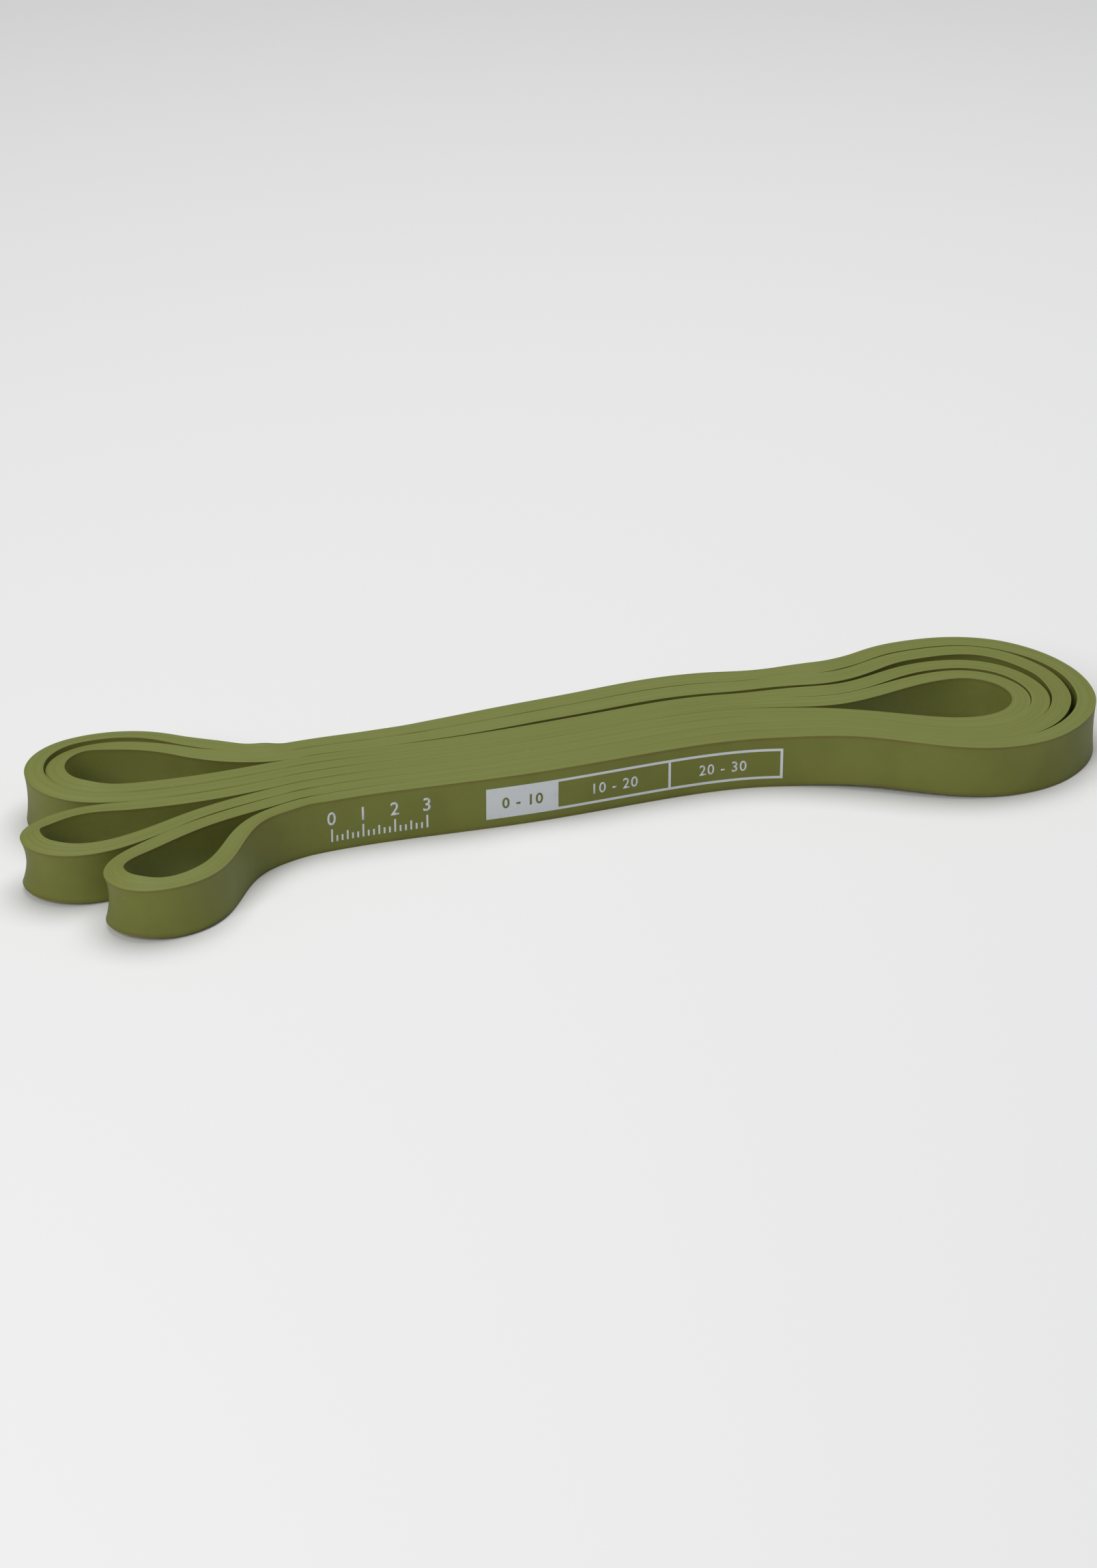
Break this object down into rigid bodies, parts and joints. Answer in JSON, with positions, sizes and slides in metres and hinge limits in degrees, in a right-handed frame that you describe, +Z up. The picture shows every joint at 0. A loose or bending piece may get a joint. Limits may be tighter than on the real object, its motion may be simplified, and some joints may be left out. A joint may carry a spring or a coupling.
{
  "type": "resistance band",
  "caption": "Endless flat latex exercise loop, folded into a long bundle that stands on its edge, with looped ends that spread and a middle that stretches.",
  "frame": {"origin": "centre of the footprint, on the surface the band stands on", "axes": "+X along the bundle towards the end where the four turns nest, +Y to the back, +Z up across the band's width"},
  "size_m": [0.263, 0.084, 0.0127],
  "materials": {
    "latex": "matte layered latex, fine grain, olive green",
    "print": "thin pale grey ink"
  },
  "bodies": {
    "bundle": {"strand_1": "latex", "strand_2": "latex", "strand_3": "latex", "strand_4": "latex", "strand_5": "latex", "strand_6": "latex", "strand_7": "latex", "strand_8": "latex"},
    "left_hub": {"neck_1": "latex", "neck_2": "latex", "neck_3": "latex", "neck_4": "latex", "neck_5": "latex", "neck_6": "latex", "neck_7": "latex", "neck_8": "latex"},
    "back_lobe": {"back_lobe_outer": "latex", "back_lobe_inner": "latex"},
    "middle_lobe": {"middle_lobe": "latex"},
    "front_lobe": {"front_lobe": "latex"},
    "right_loop": {"right_turn_1": "latex", "right_turn_2": "latex", "right_turn_3": "latex", "right_turn_4": "latex"}
  },
  "joints": [
    {"name": "stretch", "type": "slide", "parent": "bundle", "child": "left_hub", "axis": [-1, 0, 0], "range_m": [0, 0.1], "stiffness_N_per_m": 2200, "deforming": ["strand_1", "strand_2", "strand_3", "strand_4", "strand_5", "strand_6", "strand_7", "strand_8"]},
    {"name": "back_lobe_swing", "type": "hinge", "parent": "left_hub", "child": "back_lobe", "pos_m": [-0.063, 0.0162, 0], "axis": [0, 0, -1], "range_deg": [0, 25], "stiffness_Nm_per_rad": 0.05, "deforming": ["neck_1", "neck_2", "neck_3", "neck_4"]},
    {"name": "front_lobe_swing", "type": "hinge", "parent": "left_hub", "child": "front_lobe", "pos_m": [-0.063, -0.0079, 0], "axis": [0, 0, 1], "range_deg": [0, 25], "stiffness_Nm_per_rad": 0.025, "deforming": ["neck_7", "neck_8"]},
    {"name": "middle_lobe_swing", "type": "hinge", "parent": "left_hub", "child": "middle_lobe", "pos_m": [-0.063, 0.0015, 0], "axis": [0, 0, 1], "range_deg": [0, 12.5], "stiffness_Nm_per_rad": 0.025, "deforming": ["neck_5", "neck_6"]},
    {"name": "right_loop_swing", "type": "hinge", "parent": "bundle", "child": "right_loop", "pos_m": [0.046, 0.0068, 0], "axis": [0, 0, 1], "range_deg": [-12, 12], "stiffness_Nm_per_rad": 0.1}
  ],
  "couplings": [
    {"joint": "middle_lobe_swing", "follows": "front_lobe_swing", "ratio": 0.5}
  ]
}
